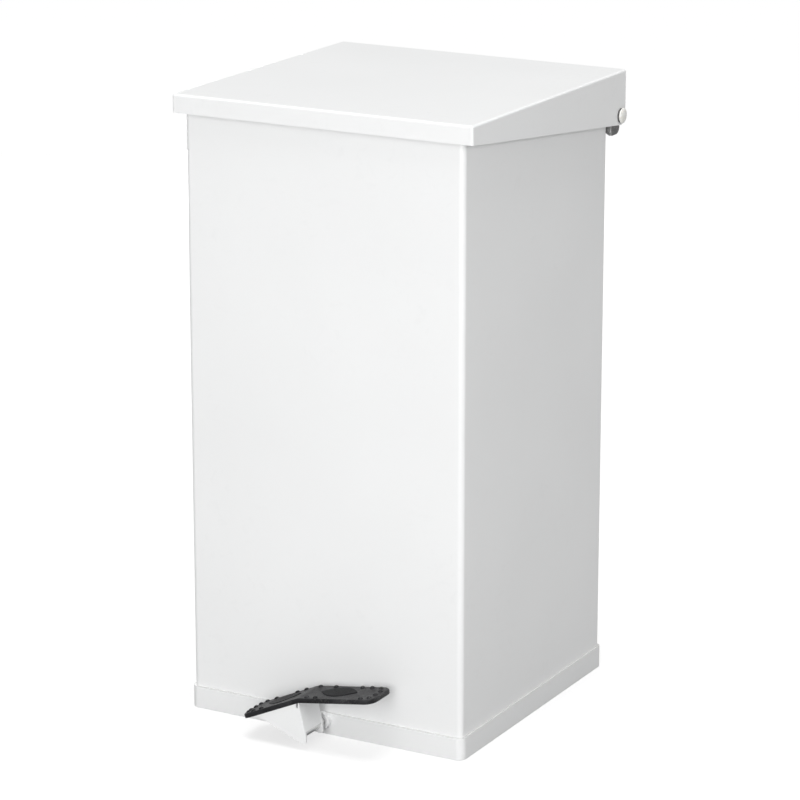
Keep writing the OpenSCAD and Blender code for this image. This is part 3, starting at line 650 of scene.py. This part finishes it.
def buildLid():
    low, high = cadBox("lid_shell")
    fall = math.radians(lidShape["fall"])
    lipZ = high.z - lidShape["lip"]
    footZ = lipZ - (high.y - low.y) * math.tan(fall)
    bm = bmesh.new()
    outline = [(low.y, lipZ), (low.y, high.z), (high.y, high.z), (high.y, footZ)]
    side = bm.faces.new([bm.verts.new((low.x, y, z)) for y, z in outline])
    extrudeBy(bm, [side], (high.x - low.x, 0, 0))
    bmesh.ops.recalc_face_normals(bm, faces=bm.faces)
    # the bends: round the top, and down the four corners
    bends = edgesAt(bm, 2, high.z) + edgesAlong(bm.edges, 2)
    roundOff(bm, bends, lidShape["bend"], lidShape["bendSegments"])
    bm.normal_update()
    under = [f for f in bm.faces if f.normal.z < -facing]
    bmesh.ops.delete(bm, geom=under, context="FACES")
    # the back flange stops short between the two sides
    stub = high.x - lidShape["backStub"]
    cutZ = high.z - lidShape["backLip"]
    atBack = lambda c: c.y > high.y - 0.1
    cutAcross(bm, (0, 0, cutZ), (0, 0, 1), atBack)
    for x in (-stub, stub):
        cutAcross(bm, (x, 0, 0), (1, 0, 0), lambda c: atBack(c) and c.z < cutZ)
    dropFaces(bm, lambda c: atBack(c) and c.z < cutZ and abs(c.x) < stub)
    for hand in (-1, 1):
        openCheek(bm, hand * high.x, lidShape["hinge"], (lidShape["bushPatch"],) * 2,
                  lidShape["bushRadius"])
    # the rounded lower back corner of each side, cut tangent by tangent
    radius, cuts = lidShape["backRound"], lidShape["backCuts"]
    centreY = high.y - radius
    centreZ = lipZ - (centreY - low.y) * math.tan(fall) + radius / math.cos(fall)
    for i in range(cuts):
        turn = (math.pi / 2 + fall) * (i + 0.5) / cuts
        away = Vector((0, math.cos(turn), -math.sin(turn)))
        bmesh.ops.bisect_plane(bm, geom=bm.verts[:] + bm.edges[:] + bm.faces[:], dist=0.0001,
                               plane_co=Vector((0, centreY, centreZ)) + away * radius,
                               plane_no=away, clear_outer=True)
    bmesh.ops.recalc_face_normals(bm, faces=bm.faces)
    bm.normal_update()
    top = max(bm.faces, key=lambda f: f.calc_center_median().z)
    if top.normal.z < 0:
        bmesh.ops.reverse_faces(bm, faces=bm.faces)
    thicken(bm, lidShape["sheet"])
    easeSharpEdges(bm, lidShape["ease"])
    keepPiece(bm, "lidSheet", "lid", "white_paint", paint, "lid_shell")


buildLid()
print("lid made")


# domePower: below 1 the dome is fuller than a quarter circle; gap: between head and washer
hingeCap = {"radius": 9.9, "depth": 4.8, "head": 3.1, "edge": 0.4, "rim": 0.3, "domeSteps": 9,
            "domePower": 0.8, "neck": 8.7, "neckRound": 0.3, "gap": 0.02, "steps": 56}


def buildHingeCap(side):            # a domed head over a darker washer
    hand = "Right" if side > 0 else "Left"
    low, high = cadBox("hinge_cap_right")
    centre = (low.x, (low.y + high.y) / 2, (low.z + high.z) / 2)
    radius, rim, steps = hingeCap["radius"], hingeCap["rim"], hingeCap["steps"]
    foot = hingeCap["depth"] - hingeCap["head"]
    rise = hingeCap["head"] - hingeCap["edge"]
    profile = [(foot, 0), (foot, radius - rim), (foot + rim, radius)]
    for i in range(1, hingeCap["domeSteps"]):       # the dome, from the rim to the middle
        turn = math.pi / 2 * i / hingeCap["domeSteps"]
        profile.append((foot + hingeCap["edge"] + rise * math.sin(turn),
                        radius * math.cos(turn) ** hingeCap["domePower"]))
    profile.append((hingeCap["depth"], 0))
    head = spunMesh(profile, (1, 0, 0), centre, steps)
    neck, end = hingeCap["neck"], foot - hingeCap["gap"]
    washer = spunMesh([(0, 0), (0, neck), (end, neck), (end, 0)], (1, 0, 0), centre, steps,
                      hingeCap["neckRound"])
    if side < 0:
        mirrorInX(head)
        mirrorInX(washer)
    keepPiece(head, "hingeCap" + hand, "casing", "cap_plastic", capPlastic,
              "hinge_cap_" + hand.lower())
    keepPiece(washer, "capWasher" + hand, "casing", "nylon", greyNylon)


for side in (-1, 1):
    buildHingeCap(side)
print("hinge caps made")


tread = {"left": 90, "right": 106, "slopeLeft": 24.6, "slopeRight": 9.1, "bendZ": 61.3,
         "bendHalf": 3, "bendCuts": 3, "thickness": 6, "corner": 13, "cornerSegments": 7,
         "topRound": 2.0, "topSegments": 4, "footRound": 1.0, "studRadius": 3.3, "studHeight": 2.2,
         "panelAt": 0.41, "panelBack": 2, "panelLong": 26, "panelWide": 17, "panelRise": 0.5,
         "panelBuried": 0.6, "panelEdge": 0.9, "panelLip": 0.25}
# studs: share of the way along the wing, share of the way from its front to its back
studsRight = [(0.91, 0.19), (0.93, 0.42), (0.93, 0.66), (0.88, 0.87), (0.75, 0.9), (0.62, 0.9),
              (0.26, 0.9), (0.05, 0.9), (0.09, 0.12), (0.21, 0.1), (0.82, 0.11)]
studsLeft = [(0.91, 0.17), (0.935, 0.34), (0.935, 0.56), (0.93, 0.77), (0.86, 0.89), (0.7, 0.9),
             (0.33, 0.9), (0.17, 0.9), (0.8, 0.1), (0.66, 0.1)]


def bendTread(bm):                  # folds the flat tread over its bend
    half = tread["bendHalf"]
    right, left = math.radians(tread["slopeRight"]), math.radians(tread["slopeLeft"])
    alongRight = Vector((math.cos(right), 0, math.sin(right)))
    alongLeft = Vector((-math.cos(left), 0, -math.sin(left)))
    for vert in bm.verts:
        x, height = vert.co.x, vert.co.z
        if x >= half:
            spot, slope = alongRight * x, right
        elif x <= -half:
            spot, slope = alongLeft * -x, left
        else:
            share = (x + half) / (2 * half)
            spot = alongLeft * half * (1 - share) ** 2 + alongRight * half * share ** 2
            slope = left + (right - left) * share
        spot = spot + Vector((-math.sin(slope), 0, math.cos(slope))) * height
        vert.co = (spot.x, vert.co.y, spot.z + tread["bendZ"])


def buildTreadPad():
    low, high = cadBox("pedal_pad")
    thick, half, cuts = tread["thickness"], tread["bendHalf"], tread["bendCuts"]
    bm = bmesh.new()
    made = addBox(bm, (-tread["left"], low.y, 0), (tread["right"], high.y, thick))
    roundOff(bm, edgesAlong(edgesOf(made), 2), tread["corner"], tread["cornerSegments"])
    bm.normal_update()
    roundOff(bm, foldsAt(bm, thick), tread["topRound"], tread["topSegments"])
    roundOff(bm, foldsAt(bm, 0), tread["footRound"])
    for i in range(-cuts, cuts + 1):        # edges for the bend to turn on
        cutAcross(bm, (half * i / cuts, 0, 0), (1, 0, 0), lambda c: True)
    size = (tread["studRadius"], tread["studRadius"], tread["studHeight"])
    for wing, places in ((tread["right"], studsRight), (-tread["left"], studsLeft)):
        for along, across in places:
            stud = bmesh.ops.create_uvsphere(bm, u_segments=16, v_segments=10, radius=1)["verts"]
            bmesh.ops.scale(bm, vec=size, verts=stud)
            bmesh.ops.translate(bm, vec=(along * wing, low.y + across * (high.y - low.y), thick),
                                verts=stud)
    bmesh.ops.recalc_face_normals(bm, faces=bm.faces)
    bendTread(bm)
    keepPiece(bm, "treadPad", "pedal", "black_rubber", rubber, "pedal_pad")


def buildTreadPanels():             # a smooth pointed panel near the middle of each wing
    low, high = cadBox("pedal_pad")
    buried = tread["panelBuried"]
    bm = bmesh.new()
    for wing in (tread["right"], -tread["left"]):
        middle = (tread["panelAt"] * wing, (low.y + high.y) / 2 + tread["panelBack"],
                  tread["thickness"] - buried)
        ring = bmesh.ops.create_circle(bm, cap_ends=True, radius=1, segments=36)["verts"]
        for vert in ring:           # two arcs that meet in a point at each end
            vert.co.y = math.copysign(1 - vert.co.x ** 2, vert.co.y) * tread["panelWide"]
            vert.co.x *= tread["panelLong"]
        bmesh.ops.translate(bm, vec=middle, verts=ring)
        raised = extrudeBy(bm, [ring[0].link_faces[0]], (0, 0, buried + tread["panelRise"]))
        bmesh.ops.inset_region(bm, faces=ofKind(raised, bmesh.types.BMFace),
                               thickness=tread["panelEdge"], depth=tread["panelLip"])
    bmesh.ops.recalc_face_normals(bm, faces=bm.faces)
    bendTread(bm)
    keepPiece(bm, "treadPanels", "pedal", "black_rubber", smoothRubber)


# the first five are the flange's corners, in X and Z
bracket = {"tip": (-60, 33.83), "top": (0, 61.3), "knee": (10, 20), "foot": (10, 10),
           "toe": (4.5, 8.8), "front": -257.2, "back": -214.2, "sheet": 2.5, "ease": 0.4,
           "webFoot": 24, "cornerRound": 1.5, "cornerSegments": 3, "bend": 3.4, "bendSegments": 4,
           "relief": (-3.9, -1.1), "reliefFoot": 54.5}


def buildBracket():
    front, back, webFoot = bracket["front"], bracket["back"], bracket["webFoot"]
    bm = bmesh.new()
    corners = [bracket[k] for k in ("tip", "top", "knee", "foot", "toe")]
    verts = [bm.verts.new((x, front, z)) for x, z in corners]
    bm.faces.new(verts)
    roundOff(bm, [verts[0], verts[3], verts[4]], bracket["cornerRound"],
             bracket["cornerSegments"], "VERTICES")
    extrudeBy(bm, bm.faces[:], (0, back - front, 0))
    bmesh.ops.recalc_face_normals(bm, faces=bm.faces)
    bm.normal_update()
    across = [f for f in bm.faces if abs(f.normal.y) < 0.5]
    web = next(f for f in across if f.normal.x > facing and f.normal.z > 0.1)
    bmesh.ops.delete(bm, geom=[f for f in across if f != web], context="FACES")
    onWeb = lambda c: front + 1 < c.y < back - 1
    cutAcross(bm, (0, 0, webFoot), (0, 0, 1), onWeb)
    dropFaces(bm, lambda c: onWeb(c) and c.z < webFoot)
    bm.normal_update()
    folds = [e for e in bm.edges if isFold(e)]
    roundOff(bm, folds, bracket["bend"], bracket["bendSegments"])
    # a short relief cut at the top of each flange, beside the fold
    left, right = bracket["relief"]
    for y in (front, back):
        onFlange = lambda c: abs(c.y - y) < 0.1
        inSlit = lambda c: onFlange(c) and left < c.x < right
        for x in (left, right):
            cutAcross(bm, (x, 0, 0), (1, 0, 0), onFlange)
        cutAcross(bm, (0, 0, bracket["reliefFoot"]), (0, 0, 1), inSlit)
        dropFaces(bm, lambda c: inSlit(c) and c.z > bracket["reliefFoot"])
    thicken(bm, bracket["sheet"])
    easeSharpEdges(bm, bracket["ease"])
    keepPiece(bm, "treadBracket", "pedal", "white_paint", paint, "pedal_bracket")


bearing = {"bore": 6.06, "boss": 11, "bossLong": 8, "neck": 9, "round": 1.0, "steps": 48}


def buildFrontBearing():
    low, high = cadBox("front_bearing")
    centre = ((low.x + high.x) / 2, low.y, (low.z + high.z) / 2)
    long = high.y - low.y
    bore, boss, neck, step = bearing["bore"], bearing["boss"], bearing["neck"], bearing["bossLong"]
    profile = [(0, bore), (0, boss), (step, boss), (step, neck), (long, neck), (long, bore)]
    bm = spunMesh(profile, (0, 1, 0), centre, bearing["steps"], bearing["round"])
    keepPiece(bm, "shaftBearing", "casing", "white_paint", paint, "front_bearing")


shaft = {"round": 0.8, "steps": 40}


def buildShaft():
    low, high = cadBox("pedal_shaft")
    radius, long = high.x, high.y - low.y
    profile = [(0, 0), (0, radius), (long, radius), (long, 0)]
    bm = spunMesh(profile, (0, 1, 0), (0, low.y, (low.z + high.z) / 2), shaft["steps"],
                  shaft["round"])
    keepPiece(bm, "pedalShaft", "pedal", "bare_steel", steelAlongY, "pedal_shaft")


buildTreadPad()
buildTreadPanels()
buildBracket()
buildFrontBearing()
buildShaft()
print("pedal made")


# CAD parts that get rounded edges, by how many millimetres, and their finish
easedParts = {
    "floor_pan": (0.2, galvanised), "rear_bearing_bracket": (0.4, galvanised),
    "hinge_bracket_left": (0.4, dullZinc), "hinge_bracket_right": (0.4, dullZinc),
    "rod_guide_lower": (0.3, galvanised), "rod_guide_upper": (0.3, galvanised),
    "lid_lever": (0.4, galvanised), "crank_arm": (0.5, galvanised),
    "shaft_collar": (0.5, steelAlongY), "rod_foot": (0.5, steelAlongZ),
    "rod_head": (0.5, steelAlongZ), "lift_rod": (0.4, steelAlongZ),
    "pedal_plate": (0.3, galvanised), "lid_buffers": (0.8, rubber)
}
# CAD parts that are kept as they are and only get a finish
plainParts = {
    "bearing_screws": steelAlongZ, "bracket_rivets": steelAlongY, "guide_rivets": steelAlongY,
    "hinge_bolt_left": steelAlongX, "hinge_bolt_right": steelAlongX, "hinge_nuts": steelAlongX,
    "crank_pin": steelAlongY, "crank_pin_clip": steelAlongY, "roll_pins": steelAlongZ,
    "lever_pin": steelAlongX, "lever_pin_clip": steelAlongX, "hinge_spacers": nylon,
    "rear_bush": nylon, "lid_bush_left": greyNylon, "lid_bush_right": greyNylon
}
easing = {"weld": 0.002, "flatten": 0.5, "sharp": 40}      # millimetres, then degrees


def slotAndBody(node):
    record = frame["record"]
    slotName = next(p["material_slot"] for p in record["subparts"] if p["node"] == node)
    body = next(b for b, nodes in record["behaviour"]["bodies"].items() if node in nodes)
    return slotName, body


def buildEased(node, width, material):
    bm = bmesh.new()
    bm.from_mesh(frame["nodes"][node].data)
    bmesh.ops.scale(bm, vec=(perMetre,) * 3, verts=bm.verts)
    bmesh.ops.remove_doubles(bm, verts=bm.verts, dist=easing["weld"])
    bmesh.ops.dissolve_limit(bm, angle_limit=math.radians(easing["flatten"]), verts=bm.verts,
                             edges=bm.edges)
    easeSharpEdges(bm, width, easing["sharp"])
    slotName, body = slotAndBody(node)
    words = node.split("_")
    name = words[0] + "".join(w.capitalize() for w in words[1:])
    keepPiece(bm, name, body, slotName, material, node)


for node, (width, material) in easedParts.items():
    buildEased(node, width, material)
for node, material in plainParts.items():
    part = frame["nodes"][node]
    part.data.materials.clear()
    part.data.materials.append(material)
print("small parts finished")


stage = {"floorHalf": 30.0, "floorColour": (0.3, 0.3, 0.3, 1), "floorRoughness": 0.9,
         "floorGlow": 0.68, "ambient": 0.3}
softboxes = {
    # name: place, aim, width, power
    "frontLight": ((0.75, -3.2, 0.8), (0.0, 0.0, 0.4), 1.8, 62.0),
    "highLight": ((0.5, -3.6, 3.3), (0.0, 0.0, 0.45), 2.4, 30.0),
    "rightLight": ((3.2, -0.8, 1.7), (0.1, 0.0, 0.6), 1.4, 32.0),
    "backLight": ((-2.2, 2.6, 0.4), (0.0, 0.0, 0.4), 0.8, 36.0)
}
skyLight = {"strength": 2.35, "spread": 30}
camera = {"place": (2.04543, -3.68689, 1.58965), "tilt": math.pi / 2 - 0.2784, "turn": 0.5065,
          "lens": 155.82, "sensor": 36.0}


def buildFloor():
    bm = bmesh.new()
    bmesh.ops.create_grid(bm, x_segments=1, y_segments=1, size=stage["floorHalf"])
    mesh = bpy.data.meshes.new("studioFloor")
    bm.to_mesh(mesh)
    bm.free()
    floor = newObject("studioFloor", mesh)
    material, tree, shader = newMaterial("paleFloor", {
        "Base Color": stage["floorColour"], "Roughness": stage["floorRoughness"],
        "Specular IOR Level": 0.0, "Emission Color": (1, 1, 1, 1)})
    # the glow whitens the floor in the picture without lighting the bin from below
    seen = addNode(tree, "ShaderNodeLightPath")
    glow = addNode(tree, "ShaderNodeMath", {1: stage["floorGlow"]}, operation="MULTIPLY")
    tree.links.new(seen.outputs["Is Camera Ray"], glow.inputs[0])
    tree.links.new(glow.outputs[0], shader.inputs["Emission Strength"])
    mesh.materials.append(material)


def addLight(name, kind, power):
    lamp = newObject(name, bpy.data.lights.new(name, kind))
    lamp.data.energy = power
    return lamp


buildFloor()
for name, (place, aim, width, power) in softboxes.items():
    box = addLight(name, "AREA", power)
    box.data.shape = "SQUARE"
    box.data.size = width
    box.location = place
    box.rotation_euler = (Vector(aim) - Vector(place)).to_track_quat("-Z", "Y").to_euler()
sky = addLight("skyLight", "SUN", skyLight["strength"])
sky.data.angle = math.radians(skyLight["spread"])

scene = bpy.context.scene
world = bpy.data.worlds.new("studioWorld")
world.use_nodes = True
setInputs(world.node_tree.nodes["Background"], {"Color": (1, 1, 1, 1),
                                                "Strength": stage["ambient"]})
scene.world = world
scene.view_settings.view_transform = "Standard"

viewer = newObject("studioCamera", bpy.data.cameras.new("studioCamera"))
viewer.data.lens = camera["lens"]
viewer.data.sensor_width = camera["sensor"]
viewer.location = camera["place"]
viewer.rotation_euler = (camera["tilt"], 0, camera["turn"])
scene.camera = viewer
print("stage, lights and camera made")
